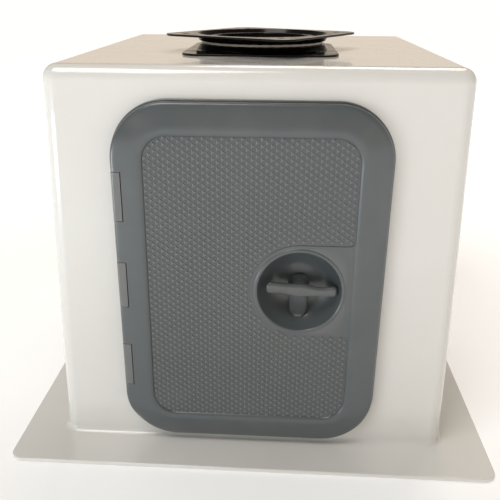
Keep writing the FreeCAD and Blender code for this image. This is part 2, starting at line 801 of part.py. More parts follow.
def build_latch_cam():
    body = new_part("latch_cam")
    back = "-dims.cam_front - dims.cam_thickness"
    disc(body, "hub", "dims.cam_hub_radius", back, "dims.cam_thickness")
    arm = latch_sketch(body, "arm", back)
    draw_polygon(arm, [
        ("-dims.cam_width / 2", "0"),
        ("-dims.cam_width / 2", "-dims.cam_reach"),
        ("dims.cam_width / 2", "-dims.cam_reach"),
        ("dims.cam_width / 2", "0"),
    ])
    pad(body, arm, "dims.cam_thickness")
    tip = edges_where(body, lambda point: near(point.z, "dims.dish_up - dims.cam_reach")
                      and near(abs(point.x - size("dims.dish_across")), "dims.cam_width / 2"))
    dress(body, "PartDesign::Fillet", tip, "dims.cam_width / 2 - 1")
    hole = latch_sketch(body, "hole", "-dims.cam_front")
    draw_polygon(hole, square("dims.tang_size + 2 * dims.tang_gap"))
    pocket(body, hole, "dims.cam_thickness")
    place_on_front(body)


def build_latch_washer():
    body = new_part("latch_washer")
    disc(body, "ring", "dims.latch_washer_radius",
         "-dims.cam_front - dims.cam_thickness - dims.latch_washer_thickness",
         "dims.latch_washer_thickness", "dims.latch_screw_radius + dims.latch_screw_gap")
    place_on_front(body)


def build_latch_screw():
    body = new_part("latch_screw")
    seat = "-dims.cam_front - dims.cam_thickness - dims.latch_washer_thickness"
    disc(body, "head", "dims.latch_screw_head_radius", f"{seat} - dims.latch_screw_head_height",
         "dims.latch_screw_head_height")
    disc(body, "shank", "dims.latch_screw_radius", f"{seat} - 1",
         "dims.latch_washer_thickness + dims.latch_screw_reach + 1")
    place_on_front(body)


def build_latch_o_ring():
    body = new_part("latch_o_ring")
    section = sketch_on(body, "section", "XY_Plane", across="dims.dish_across",
                        out="dims.dish_up")
    draw_circle(section, "dims.ring_section_radius", across="dims.ring_radius",
                up="dims.ring_depth")
    revolve(body, section)
    place_on_front(body)


# ---------------------------------------------------------------- seat swivel

def build_swivel_plate(label, level, outer_face, hole_radius, turn="0"):
    """A pressed plate: square flange, cone and ball race.

    level turns a height above the lower plate's foot into this plate's own height, so that
    the upper plate is the lower one upside down.
    """
    body = new_part(label)
    flange = sketch_on(body, "flange", "XY_Plane", out=outer_face)
    draw_rounded_rectangle(flange, "dims.swivel_plate", "dims.swivel_plate",
                           "dims.swivel_corner")
    draw_circle(flange, "(dims.lap_radius + dims.cone_foot_radius) / 2")
    bolt_circles(flange, hole_radius)
    pad(body, flange, "dims.swivel_sheet")
    pressing = sketch_on(body, "pressing", "XZ_Plane")
    under = "dims.race_rise - dims.swivel_sheet"
    draw_polygon(pressing, [
        ("dims.lap_radius", level("0")),
        ("dims.lap_radius", level("dims.swivel_sheet")),
        ("dims.cone_foot_radius", level("dims.swivel_sheet")),
        ("dims.cone_head_radius", level("dims.race_rise")),
        ("dims.race_inner_radius", level("dims.race_rise")),
        ("dims.race_inner_radius", level(under)),
        ("dims.cone_head_radius - dims.cone_skin", level(under)),
        ("dims.cone_foot_radius - dims.cone_skin", level("0")),
    ])
    revolve(body, pressing)
    race = sketch_on(body, "race", "XZ_Plane")
    draw_circle(race, "dims.ball_radius + dims.ball_gap", across="dims.ball_circle_radius",
                up="dims.swivel_height / 2")
    revolve(body, race, "PartDesign::Groove")

    def at_bend(point):
        reach = math.hypot(point.x, point.y)
        foot = near(reach, "dims.cone_foot_radius") and near(point.z, level("dims.swivel_sheet"))
        head = near(reach, "dims.cone_head_radius") and near(point.z, level("dims.race_rise"))
        return foot or head

    def at_race_lip(point):
        return near(math.hypot(point.x, point.y), "dims.race_inner_radius")

    dress(body, "PartDesign::Fillet", edges_where(body, at_bend), "dims.bend_radius")
    outline = [name for name in edges_where(body, lambda point: True)
               if is_outline(body, name)]
    dress(body, "PartDesign::Fillet", outline, "dims.plate_edge_radius")
    dress(body, "PartDesign::Fillet", edges_where(body, at_race_lip), "dims.plate_edge_radius")
    place_on_top(body, turn)


def is_outline(body, name):
    """True for an edge of the square flange's own outline, upper or lower."""
    edge = body.Tip.Shape.Edges[int(name.removeprefix("Edge")) - 1]
    half = size("dims.swivel_plate / 2")
    level = all(abs(vertex.Z - edge.Vertexes[0].Z) < 0.01 for vertex in edge.Vertexes)
    reach = [max(abs(vertex.X), abs(vertex.Y)) for vertex in edge.Vertexes]
    return level and min(reach) > half - 0.01


def build_ball_cage():
    body = new_part("ball_cage")
    ring = sketch_on(body, "ring", "XY_Plane", out="dims.swivel_height / 2")
    draw_circle(ring, "dims.cage_outer_radius")
    draw_circle(ring, "dims.cage_inner_radius")
    pad(body, ring, "dims.cage_thickness", both_ways=True)
    hole = sketch_on(body, "hole", "XY_Plane", out="dims.swivel_height / 2")
    draw_circle(hole, "dims.ball_radius + dims.cage_hole_gap", across="dims.ball_circle_radius")
    cut = pocket(body, hole, "2 * dims.cage_thickness", both_ways=True)
    around(body, [cut], "Z_Axis", int(size("dims.ball_count")))
    place_on_top(body)


def build_swivel_balls():
    body = new_part("swivel_balls")
    ball = body.newObject("PartDesign::AdditiveSphere", "ball")
    ball.setExpression("Radius", "dims.ball_radius")
    ball.AttachmentSupport = [(origin_feature(body, "XY_Plane"), "")]
    ball.MapMode = "FlatFace"
    ball.setExpression("AttachmentOffset.Base.x", "dims.ball_circle_radius")
    ball.setExpression("AttachmentOffset.Base.z", "dims.swivel_height / 2")
    finish_feature(body, ball)
    around(body, [ball], "Z_Axis", int(size("dims.ball_count")))
    place_on_top(body)


def build_retaining_ring():
    """A channel rolled over the inner edges of both races; it holds the plates together."""
    body = new_part("swivel_retaining_ring")
    channel = sketch_on(body, "channel", "XZ_Plane")
    low = "dims.keeper_bottom"
    high = "dims.swivel_height - dims.keeper_bottom"
    web = "dims.keeper_inner_radius + dims.keeper_web"
    draw_polygon(channel, [
        ("dims.keeper_inner_radius", low),
        ("dims.keeper_outer_radius", low),
        ("dims.keeper_outer_radius", f"{low} + dims.keeper_web"),
        (web, f"{low} + dims.keeper_web"),
        (web, f"{high} - dims.keeper_web"),
        ("dims.keeper_outer_radius", f"{high} - dims.keeper_web"),
        ("dims.keeper_outer_radius", high),
        ("dims.keeper_inner_radius", high),
    ])
    revolve(body, channel)
    corners = edges_where(body, lambda point: near(point.z, low) or near(point.z, high))
    dress(body, "PartDesign::Fillet", corners, "dims.plate_edge_radius")
    place_on_top(body)


# ---------------------------------------------------------------- bolts through the top

def hexagon(sketch):
    """A hexagon about the first bolt, with two of its flats facing front and back."""
    half = "dims.swivel_bolt_spacing / 2"
    reach = "dims.hex_across_flats / 2 / cos(30deg)"
    draw_polygon(sketch, [
        (f"{half} + {reach} * cos({60 * corner}deg)", f"{half} + {reach} * sin({60 * corner}deg)")
        for corner in range(6)
    ])


def at_bolt(sketch, radius):
    half = "dims.swivel_bolt_spacing / 2"
    draw_circle(sketch, radius, across=half, up=half)


def build_swivel_bolts():
    body = new_part("swivel_bolts")
    head = sketch_on(body, "head", "XY_Plane", out="dims.swivel_sheet")
    at_bolt(head, "dims.bolt_head_radius")
    head_pad = pad(body, head, "dims.bolt_head_height")
    shank = sketch_on(body, "shank", "XY_Plane", out="dims.swivel_sheet")
    at_bolt(shank, "dims.bolt_radius")
    shank_pad = pad(body, shank, "dims.bolt_length", backwards=True)
    around(body, [head_pad, shank_pad], "Z_Axis", SWIVEL_BOLTS)
    crown = edges_where(
        body, lambda point: near(point.z, "dims.swivel_sheet + dims.bolt_head_height"))
    dress(body, "PartDesign::Fillet", crown, "dims.plate_edge_radius")
    place_on_top(body)


def build_swivel_washers():
    body = new_part("swivel_washers")
    ring = sketch_on(body, "ring", "XY_Plane", out="-dims.wall - dims.board_thickness")
    at_bolt(ring, "dims.washer_radius")
    at_bolt(ring, "dims.washer_bore_radius")
    washer = pad(body, ring, "dims.washer_thickness", backwards=True)
    around(body, [washer], "Z_Axis", SWIVEL_BOLTS)
    place_on_top(body)


def build_swivel_nuts():
    body = new_part("swivel_nuts")
    outline = sketch_on(body, "outline", "XY_Plane",
                        out="-dims.wall - dims.board_thickness - dims.washer_thickness")
    hexagon(outline)
    at_bolt(outline, "dims.nut_bore_radius")
    nut = pad(body, outline, "dims.nut_height", backwards=True)
    around(body, [nut], "Z_Axis", SWIVEL_BOLTS)
    place_on_top(body)


# ---------------------------------------------------------------- assembly and export

def check_document():
    for item in doc.Objects:
        if {"Invalid", "Error"} & set(item.State):
            raise RuntimeError(f"{item.Label} failed: {item.State}")
    for body in parts:
        if body.Shape.isNull() or not body.Shape.isValid():
            raise RuntimeError(f"{body.Label} has no valid shape")


def main():
    build_box_shell()
    build_backing_board()
    build_hatch_frame()
    build_frame_screws()
    build_hatch_seal()
    build_hinge_pins()
    build_hatch_lid()
    build_latch_bush()
    build_latch_handle()
    build_latch_cam()
    build_latch_washer()
    build_latch_screw()
    build_latch_o_ring()
    build_swivel_plate("swivel_base_plate", lambda height: height, "0",
                       "dims.bolt_hole_radius")
    build_swivel_plate("swivel_top_plate", lambda height: f"dims.swivel_height - ({height})",
                       "dims.swivel_height - dims.swivel_sheet", "dims.seat_hole_radius",
                       "dims.swivel_turn")
    build_retaining_ring()
    build_ball_cage()
    build_swivel_balls()
    build_swivel_bolts()
    build_swivel_washers()
    build_swivel_nuts()
    doc.recompute()
    check_document()
    os.makedirs("parts", exist_ok=True)
    for body in parts:
        body.Shape.exportStep(f"parts/{body.Label}.step")
        box = body.Shape.BoundBox
        print(f"{body.Label:22s} solids {len(body.Shape.Solids):3d} volume {body.Shape.Volume:12.1f}"
              f"  x {box.XMin:8.2f} {box.XMax:8.2f}  y {box.YMin:8.2f} {box.YMax:8.2f}"
              f"  z {box.ZMin:8.2f} {box.ZMax:8.2f}")


main()
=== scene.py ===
import json
import math

import bmesh
import bpy
from mathutils import Matrix, Vector


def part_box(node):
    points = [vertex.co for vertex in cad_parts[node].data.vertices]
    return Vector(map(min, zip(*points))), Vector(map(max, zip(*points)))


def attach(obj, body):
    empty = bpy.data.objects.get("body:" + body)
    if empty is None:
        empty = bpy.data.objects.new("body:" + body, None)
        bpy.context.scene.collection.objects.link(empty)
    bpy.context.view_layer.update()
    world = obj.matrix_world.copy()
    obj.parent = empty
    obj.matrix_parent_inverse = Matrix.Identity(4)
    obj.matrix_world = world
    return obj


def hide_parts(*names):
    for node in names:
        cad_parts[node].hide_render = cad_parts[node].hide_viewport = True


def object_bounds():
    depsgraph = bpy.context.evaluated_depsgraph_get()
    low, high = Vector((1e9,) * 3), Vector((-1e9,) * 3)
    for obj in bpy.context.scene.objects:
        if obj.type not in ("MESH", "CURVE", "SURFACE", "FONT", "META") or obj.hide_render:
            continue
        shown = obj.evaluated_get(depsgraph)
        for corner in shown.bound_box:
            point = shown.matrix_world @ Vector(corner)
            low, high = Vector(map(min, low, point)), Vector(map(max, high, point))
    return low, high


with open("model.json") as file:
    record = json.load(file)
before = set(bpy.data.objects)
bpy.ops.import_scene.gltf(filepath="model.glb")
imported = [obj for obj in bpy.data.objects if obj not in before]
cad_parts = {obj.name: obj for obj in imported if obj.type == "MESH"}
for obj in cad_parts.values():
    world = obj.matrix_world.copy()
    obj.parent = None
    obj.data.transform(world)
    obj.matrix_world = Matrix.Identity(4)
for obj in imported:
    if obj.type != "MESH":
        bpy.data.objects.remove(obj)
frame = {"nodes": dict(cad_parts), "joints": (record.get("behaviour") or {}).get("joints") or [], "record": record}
cad_low, cad_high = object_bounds()

MM = 0.001
SMOOTH_ANGLE = math.radians(35)

# ------------------------------------------------------------ places read from the frame

joints = {joint["name"]: joint for joint in frame["joints"]}
OUT = Vector(joints["latch_turn"]["axis"]).normalized()
UP = -Vector(joints["hatch_hinge"]["axis"]).normalized()
ACROSS = UP.cross(OUT).normalized()
frame_low, frame_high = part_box("hatch_frame")
DISH_AXIS = Vector(joints["latch_turn"]["pos_m"])
HINGE_RISE = 11.6
HATCH_CENTRE = Vector(joints["hatch_hinge"]["pos_m"]) - OUT * HINGE_RISE * MM
HATCH_CENTRE.x = (frame_low.x + frame_high.x) / 2

# the hatch's own sizes in millimetres: across, up, and out of the leaning face
HALF_WIDTH = 140.0
HALF_HEIGHT = 190.0
CORNER = 58.0
LID_INSET = 1.8
LID_BOTTOM = 4.6
UNDERSIDE = 10.0
FIELD_LEVEL = 12.2
FIELD_BORDER = 32.1
SKIRT_WALL = 3.0
LUG_PITCH = 95.4
LUG_HALF = 25.5
NOTCH_INNER = 10.4
BORE_RADIUS = 8.05
DISH_ACROSS = (DISH_AXIS - HATCH_CENTRE).dot(ACROSS) / MM
DISH_UP = (DISH_AXIS - HATCH_CENTRE).dot(UP) / MM


def on_hatch(across, up, out):
    """A point in the hatch's own frame, in millimetres, as a place in the shared frame."""
    return HATCH_CENTRE + (ACROSS * across + UP * up + OUT * out) * MM


def on_latch(across, up, out):
    """The same, measured from the latch's axis."""
    return on_hatch(DISH_ACROSS + across, DISH_UP + up, out)


# ------------------------------------------------------------ mesh helpers

class Shells:
    """Closed shells, each skinned over rings of points, gathered into one mesh."""

    def __init__(self):
        self.points = []
        self.faces = []

    def skin(self, rings, closed=False):
        """Join rings of one length: closed joins the last to the first, else both are capped."""
        start = len(self.points)
        count = len(rings[0])
        for ring in rings:
            self.points.extend(ring)
        joins = [(index, index + 1) for index in range(len(rings) - 1)]
        if closed:
            joins.append((len(rings) - 1, 0))
        for low, high in joins:
            for step in range(count):
                after = (step + 1) % count
                self.faces.append((start + low * count + step, start + low * count + after,
                                   start + high * count + after, start + high * count + step))
        if not closed:
            last = start + (len(rings) - 1) * count
            self.faces.append(tuple(start + step for step in range(count)))
            self.faces.append(tuple(last + step for step in range(count)))

    def mesh(self, name):
        mesh = bpy.data.meshes.new(name)
        mesh.from_pydata([tuple(point) for point in self.points], [], self.faces)
        mesh.update()
        outward(mesh)
        return mesh


def outward(mesh):
    shape = bmesh.new()
    shape.from_mesh(mesh)
    bmesh.ops.recalc_face_normals(shape, faces=shape.faces)
    shape.to_mesh(mesh)
    shape.free()


def place(name, mesh, material, body, slot, angle=SMOOTH_ANGLE):
    """Add a finished piece: smooth shading with its sharp edges, material and body. The slot is not used."""
    mesh.shade_smooth()
    mesh.set_sharp_from_angle(angle=angle)
    mesh.materials.clear()
    mesh.materials.append(material)
    piece = bpy.data.objects.new(name, mesh)
    bpy.context.scene.collection.objects.link(piece)
    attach(piece, body)
    return piece


def shaped(mesh, modifiers):
    """The mesh after a list of modifiers, each given as its type and its settings."""
    holder = bpy.data.objects.new("holder", mesh)
    bpy.context.scene.collection.objects.link(holder)
    for kind, settings in modifiers:
        modifier = holder.modifiers.new(kind, kind)
        for key, value in settings.items():
            setattr(modifier, key, value)
    graph = bpy.context.evaluated_depsgraph_get()
    result = bpy.data.meshes.new_from_object(holder.evaluated_get(graph))
    bpy.data.objects.remove(holder)
    return result


def rounded_rectangle(half_width, half_height, radius, arc=24, side=44, end=30):
    """Counter-clockwise points round a rectangle with round corners, always the same count."""
    wide = half_width - radius
    high = half_height - radius
    legs = (
        (1, -1, -90, (0, 2 * high), side),
        (1, 1, 0, (-2 * wide, 0), end),
        (-1, 1, 90, (0, -2 * high), side),
        (-1, -1, 180, (2 * wide, 0), end),
    )
    points = []
    for sign_x, sign_y, first, run, steps in legs:
        for step in range(arc):
            angle = math.radians(first + 90 * step / arc)
            points.append((sign_x * wide + radius * math.cos(angle),
                           sign_y * high + radius * math.sin(angle)))
        angle = math.radians(first + 90)
        x = sign_x * wide + radius * math.cos(angle)
        y = sign_y * high + radius * math.sin(angle)
        for step in range(steps):
            points.append((x + run[0] * step / steps, y + run[1] * step / steps))
    return points


def smooth_curve(knots, count):
    """Even samples of a smooth curve through (x, y) knots with rising x (monotone cubic)."""
    slopes = []
    for index in range(len(knots)):
        before = knots[max(index - 1, 0)]
        after = knots[min(index + 1, len(knots) - 1)]
        slopes.append((after[1] - before[1]) / (after[0] - before[0]))
    samples = []
    for step in range(count):
        x = knots[0][0] + (knots[-1][0] - knots[0][0]) * step / (count - 1)
        span = 0
        while span < len(knots) - 2 and x > knots[span + 1][0]:
            span += 1
        (x0, y0), (x1, y1) = knots[span], knots[span + 1]
        width = x1 - x0
        part = (x - x0) / width
        samples.append((x, (2 * part ** 3 - 3 * part ** 2 + 1) * y0
                        + (part ** 3 - 2 * part ** 2 + part) * width * slopes[span]
                        + (3 * part ** 2 - 2 * part ** 3) * y1
                        + (part ** 3 - part ** 2) * width * slopes[span + 1]))
    return samples


def turned(shell, profile, around=72):
    rings = []
    for radius, out in profile:
        rings.append([on_latch(radius * math.cos(2 * math.pi * step / around),
                               radius * math.sin(2 * math.pi * step / around), out)
                      for step in range(around)])
    shell.skin(rings)


# ------------------------------------------------------------ materials

class Surface:
    """A procedural Principled material built one layer at a time."""

    def __init__(self, name, **constants):
        self.material = bpy.data.materials.new(name)
        self.material.use_nodes = True
        self.tree = self.material.node_tree
        self.tree.nodes.clear()
        self.output = self.node("ShaderNodeOutputMaterial")
        self.shader = self.node("ShaderNodeBsdfPrincipled")
        self.link(self.shader.outputs["BSDF"], self.output.inputs["Surface"])
        self.place = self.node("ShaderNodeTexCoord").outputs["Object"]
        for key, value in constants.items():
            self.shader.inputs[key.replace("_", " ")].default_value = value

    def node(self, kind, **settings):
        node = self.tree.nodes.new(kind)
        for key, value in settings.items():
            setattr(node, key, value)
        return node

    def link(self, source, target):
        self.tree.links.new(source, target)

    def noise(self, scale, detail=3.0, rough=0.5, stretch=None):
        """Noise with about so many features to a metre, stretched along one axis if asked."""
        node = self.node("ShaderNodeTexNoise")
        node.inputs["Scale"].default_value = scale
        node.inputs["Detail"].default_value = detail
        node.inputs["Roughness"].default_value = rough
        place = self.place
        if stretch:
            mapping = self.node("ShaderNodeMapping")
            mapping.inputs["Scale"].default_value = stretch
            self.link(place, mapping.inputs["Vector"])
            place = mapping.outputs["Vector"]
        self.link(place, node.inputs["Vector"])
        return node.outputs["Fac"]

    def spread(self, value, low, high, from_low=0.3, from_high=0.7):
        """The value stretched from its own limits to low and high, and held between them."""
        node = self.node("ShaderNodeMapRange")
        self.link(value, node.inputs["Value"])
        node.inputs["From Min"].default_value = from_low
        node.inputs["From Max"].default_value = from_high
        node.inputs["To Min"].default_value = low
        node.inputs["To Max"].default_value = high
        return node.outputs["Result"]

    def mix(self, factor, first, second):
        node = self.node("ShaderNodeMix", data_type="RGBA")
        self.link(factor, node.inputs["Factor"])
        for socket, value in (("A", first), ("B", second)):
            target = [entry for entry in node.inputs
                      if entry.name == socket and entry.type == "RGBA"][0]
            if isinstance(value, tuple):
                target.default_value = (*value, 1.0)
            else:
                self.link(value, target)
        return [entry for entry in node.outputs if entry.type == "RGBA"][0]

    def colour(self, factor, first, second):
        self.tint = self.mix(factor, first, second)
        self.link(self.tint, self.shader.inputs["Base Color"])

    def over(self, factor, second):
        """Lay a further colour over what is there."""
        self.tint = self.mix(factor, self.tint, second)
        self.link(self.tint, self.shader.inputs["Base Color"])

    def roughness(self, factor, low, high):
        """Roughness that wanders from low to high with the factor."""
        self.link(self.spread(factor, low, high), self.shader.inputs["Roughness"])

    def bump(self, *layers):
        """Height layers as (height socket, depth in millimetres, strength)."""
        normal = None
        for height, depth, strength in layers:
            node = self.node("ShaderNodeBump")
            node.inputs["Strength"].default_value = strength
            node.inputs["Distance"].default_value = depth * MM
            self.link(height, node.inputs["Height"])
            if normal:
                self.link(normal, node.inputs["Normal"])
            normal = node.outputs["Normal"]
        self.link(normal, self.shader.inputs["Normal"])

    def edges(self, low, high):
        """How far a place stands out of the surface round it, for wear on edges and for painted highlights along
        edges.
        """
        pointed = self.node("ShaderNodeNewGeometry").outputs["Pointiness"]
        return self.spread(pointed, 0.0, 1.0, low, high)


def gelcoat():
    skin = Surface("gelcoat", IOR=1.5, Coat_Weight=0.7, Coat_Roughness=0.05, Coat_IOR=1.5)
    skin.colour(skin.spread(skin.noise(7, 3), 0.0, 1.0), (0.82, 0.812, 0.785),
                (0.78, 0.772, 0.735))
    skin.over(skin.spread(skin.noise(60, 5, 0.65), 0.0, 0.12, 0.55, 0.75), (0.72, 0.70, 0.64))
    skin.roughness(skin.noise(24, 4), 0.12, 0.24)
    skin.bump((skin.noise(9, 1), 1.0, 0.05), (skin.noise(420, 2), 0.04, 0.10))
    return skin.material


def hatch_plastic(name, light, dark):
    skin = Surface(name, IOR=1.5, Coat_Weight=0.5, Coat_Roughness=0.12)
    skin.colour(skin.spread(skin.noise(9, 3), 0.0, 1.0), dark, light)
    skin.over(skin.spread(skin.noise(26, 2), 0.0, 0.25, 0.5, 0.7), (0.128, 0.134, 0.134))
    # Lighter colour on edges by pointiness: a painted highlight along the triangles and rims.
    skin.over(skin.edges(0.53, 0.62), (0.16, 0.165, 0.165))
    skin.roughness(skin.noise(18, 1), 0.29, 0.34)
    skin.bump((skin.noise(30, 2), 0.25, 0.05), (skin.noise(1500, 3), 0.02, 0.15))
    return skin.material


def handle_plastic():
    skin = Surface("handle_plastic", IOR=1.5, Coat_Weight=0.6, Coat_Roughness=0.07)
    skin.colour(skin.spread(skin.noise(40, 3), 0.0, 1.0), (0.085, 0.095, 0.097),
                (0.100, 0.109, 0.111))
    # Lighter colour on edges by pointiness: a painted highlight along the handle's rims.
    skin.over(skin.edges(0.53, 0.62), (0.18, 0.18, 0.178))
    skin.roughness(skin.noise(120, 4), 0.16, 0.26)
    skin.bump((skin.noise(90, 2), 0.06, 0.06), (skin.noise(1600, 3), 0.015, 0.12))
    return skin.material


def plywood():
    skin = Surface("plywood", IOR=1.45)
    grain = skin.noise(60, 6, 0.6, (0.25, 4.0, 1.0))
    skin.colour(skin.spread(grain, 0.0, 1.0), (0.60, 0.43, 0.25), (0.44, 0.29, 0.15))
    skin.over(skin.spread(skin.noise(12, 2), 0.0, 0.4), (0.66, 0.52, 0.34))
    skin.roughness(grain, 0.55, 0.75)
    skin.bump((grain, 0.3, 0.5))
    return skin.material


def rubber():
    skin = Surface("seal_rubber", IOR=1.5)
    skin.colour(skin.spread(skin.noise(50, 4), 0.0, 1.0), (0.018, 0.018, 0.018),
                (0.035, 0.034, 0.033))
    skin.roughness(skin.noise(80, 4), 0.55, 0.75)
    skin.bump((skin.noise(900, 3), 0.05, 0.4))
    return skin.material


def metal(name, light, dark, rough_low, rough_high, scale=180, stretch=None):
    skin = Surface(name, Metallic=1.0, IOR=2.5)
    skin.colour(skin.spread(skin.noise(scale, 4, 0.6, stretch), 0.0, 1.0), light, dark)
    skin.roughness(skin.noise(scale * 2, 4, 0.6, stretch), rough_low, rough_high)
    skin.bump((skin.noise(scale * 5, 3, 0.6, stretch), 0.03, 0.25))
    return skin.material


def black_coat(name):
    skin = Surface(name, IOR=1.4, Specular_IOR_Level=0.22, Coat_Weight=0.12,
                   Coat_Roughness=0.08)
    skin.colour(skin.spread(skin.noise(20, 4), 0.0, 1.0), (0.003, 0.0026, 0.0022),
                (0.007, 0.006, 0.005))
    skin.over(skin.edges(0.58, 0.75), (0.012, 0.009, 0.007))
    skin.roughness(skin.noise(60, 4), 0.12, 0.26)
    skin.bump((skin.noise(35, 2), 0.25, 0.12), (skin.noise(700, 3), 0.03, 0.25))
    return skin.material


def plain_plastic(name, light, dark, rough_low, rough_high):
    skin = Surface(name, IOR=1.5)
    skin.colour(skin.spread(skin.noise(70, 4), 0.0, 1.0), light, dark)
    skin.roughness(skin.noise(120, 4), rough_low, rough_high)
    skin.bump((skin.noise(1100, 3), 0.03, 0.3))
    return skin.material


MATERIALS = {
    "gelcoat": gelcoat(),
    "plywood": plywood(),
    "hatch_plastic": hatch_plastic("hatch_plastic", (0.094, 0.108, 0.113),
                                   (0.083, 0.097, 0.103)),
    "handle_plastic": handle_plastic(),
    "seal_rubber": rubber(),
    "stainless": metal("stainless", (0.62, 0.61, 0.59), (0.50, 0.49, 0.48), 0.22, 0.36),
    "swivel_paint": black_coat("swivel_paint"),
    "black_fasteners": black_coat("black_fasteners"),
    "ball_steel": metal("ball_steel", (0.72, 0.72, 0.71), (0.60, 0.60, 0.59), 0.08, 0.18),
    "cage_plastic": plain_plastic("cage_plastic", (0.72, 0.70, 0.64), (0.62, 0.60, 0.54),
                                  0.40, 0.55),
    "bush_plastic": plain_plastic("bush_plastic", (0.035, 0.035, 0.036), (0.055, 0.055, 0.055),
                                  0.35, 0.50),
}

# ------------------------------------------------------------ hatch lid

# profiles: the lid's as (inset, out), the dish's as (radius, out)
LID_EDGE = [(0.0, 11.2), (0.25, 12.25), (0.85, 13.1), (1.75, 13.7), (3.0, 14.05)]
LID_CREST = [(6.0, 14.25), (11.0, 14.5), (16.0, 14.75), (20.5, 14.93), (24.0, 15.0),
             (26.5, 15.0), (28.6, 14.85), (30.2, 14.4), (31.2, 13.7), (31.8, 12.95),
             (32.05, 12.4)]
OUTER_FALL = 3.2
FALL_REACH = 24.0
HINGE_SIDE = 14.0
HINGE_FLAT = 0.2
SKIRT_ROOT = 2.0
NOTCH_OVERRUN = 2.0
NOTCH_LEVELS = (2.0, 18.0)
LIP = [(48.2, 12.2), (48.0, 13.1), (47.5, 13.7), (46.7, 14.1), (45.6, 14.3), (44.7, 14.15),
       (44.1, 13.75), (43.8, 13.1)]
BOWL = [(43.5, 10.5), (42.8, 7.0), (41.5, 3.0), (39.5, -1.0), (36.8, -5.0), (33.4, -8.6),
        (29.6, -11.3), (25.6, -13.1), (21.5, -13.9), (16.0, -14.0)]
BOWL_BACK = [(16.0, -16.5), (22.0, -16.4), (27.0, -15.5), (31.8, -13.3), (36.0, -10.0),
             (39.6, -6.0), (42.2, -1.2), (44.2, 3.4), (45.4, 7.4), (45.8, 10.0)]


def lid_outline(inset):
    """Points round the lid's own outline, moved inwards by the inset."""
    edge = LID_INSET + inset
    return rounded_rectangle(HALF_WIDTH - edge, HALF_HEIGHT - edge, CORNER - edge)


def lid_ring(inset, out):
    return [on_hatch(x, y, out) for x, y in lid_outline(inset)]


def border_ring(inset, out):
    """The border falls away outwards on every side but the hinge side, which is flatter."""
    fall = OUTER_FALL * max(0.0, 1 - inset / FALL_REACH)
    ring = []
    for x, y in lid_outline(inset):
        away = min(1.0, max(0.0, (x + HALF_WIDTH - inset) / HINGE_SIDE - HINGE_FLAT))
        ring.append(on_hatch(x, y, out - fall * away ** 2 * (3 - 2 * away)))
    return ring


# directions from the dish's axis to the outline, so that its rings join without twisting
BEARINGS = [math.atan2(y - DISH_UP, x - DISH_ACROSS) for x, y in lid_outline(0.0)]


def dish_ring(radius, out):
    return [on_latch(radius * math.cos(angle), radius * math.sin(angle), out)
            for angle in BEARINGS]


def carved(mesh, cutter):
    """The mesh with the cutter's shells taken out of it."""
    tool = bpy.data.objects.new("tool", cutter.mesh("tool"))
    bpy.context.scene.collection.objects.link(tool)
    result = shaped(mesh, [("BOOLEAN", {"object": tool, "operation": "DIFFERENCE",
                                        "solver": "EXACT"})])
    bpy.data.objects.remove(tool)
    return result


def cut_notches(mesh):
    """Cut the three clearances for the hinge lugs out of the left edge."""
    left = LID_INSET - HALF_WIDTH
    cutter = Shells()
    for row in (-1, 0, 1):
        low = row * LUG_PITCH - LUG_HALF
        high = row * LUG_PITCH + LUG_HALF
        outer, inner = left - NOTCH_OVERRUN, left + NOTCH_INNER
        corners = [(outer, low), (inner, low), (inner, high), (outer, high)]
        cutter.skin([[on_hatch(x, y, out) for x, y in corners] for out in NOTCH_LEVELS])
    return carved(mesh, cutter)


def lid_moulding():
    shell = Shells()
    rings = [lid_ring(0.0, LID_BOTTOM)]
    rings += [border_ring(inset, out) for inset, out in LID_EDGE + LID_CREST]
    rings.append(lid_ring(FIELD_BORDER, FIELD_LEVEL))
    rings += [dish_ring(radius, out) for radius, out in LIP + BOWL]
    rings.append(dish_ring(BORE_RADIUS, BOWL[-1][1]))
    rings.append(dish_ring(BORE_RADIUS, BOWL_BACK[0][1]))
    rings += [dish_ring(radius, out) for radius, out in BOWL_BACK]
    rings.append(lid_ring(SKIRT_WALL + SKIRT_ROOT, UNDERSIDE))
    rings.append(lid_ring(SKIRT_WALL, UNDERSIDE))
    rings.append(lid_ring(SKIRT_WALL, LID_BOTTOM))
    shell.skin(rings, closed=True)
    return cut_notches(shell.mesh("hatch_lid_moulding"))


# the smooth pad round the dish, measured from the latch's axis
PAD_RADIUS = 50.7
PAD_DROP = 0.7
PAD_RIGHT = 54.8
PAD_END = 57.2
PAD_FLARE = 6.0
PAD_HOLE = 46.9
PAD_TOP = 13.3
PAD_STEPS = 96
PAD_BEND_STEPS = 10
PAD_HOLE_STEPS = 128
PAD_HOLE_OVERRUN = 3
PAD_EDGE = [(0.0, FIELD_LEVEL - 0.8), (0.0, PAD_TOP - 0.55), (0.15, PAD_TOP - 0.15),
            (0.6, PAD_TOP), (1.2, PAD_TOP)]


def pad_outline(inset):
    """Half a circle to the left of the dish, then straight edges that flare into the border."""
    radius = PAD_RADIUS - inset
    points = []
    for step in range(PAD_STEPS + 1):
        angle = math.radians(90 + 180 * step / PAD_STEPS)
        points.append((radius * math.cos(angle), PAD_DROP + radius * math.sin(angle)))
    flare = PAD_FLARE + inset
    start = PAD_RIGHT - PAD_FLARE
    bend = [math.radians(90 * step / PAD_BEND_STEPS) for step in range(PAD_BEND_STEPS + 1)]
    curve = [(start + flare * math.sin(angle), flare * (1 - math.cos(angle)) + radius)
             for angle in bend]
    points += [(x, PAD_DROP - y) for x, y in curve]
    points += [(PAD_END, PAD_DROP - curve[-1][1]), (PAD_END, PAD_DROP + curve[-1][1])]
    points += [(x, PAD_DROP + y) for x, y in reversed(curve)]
    return points


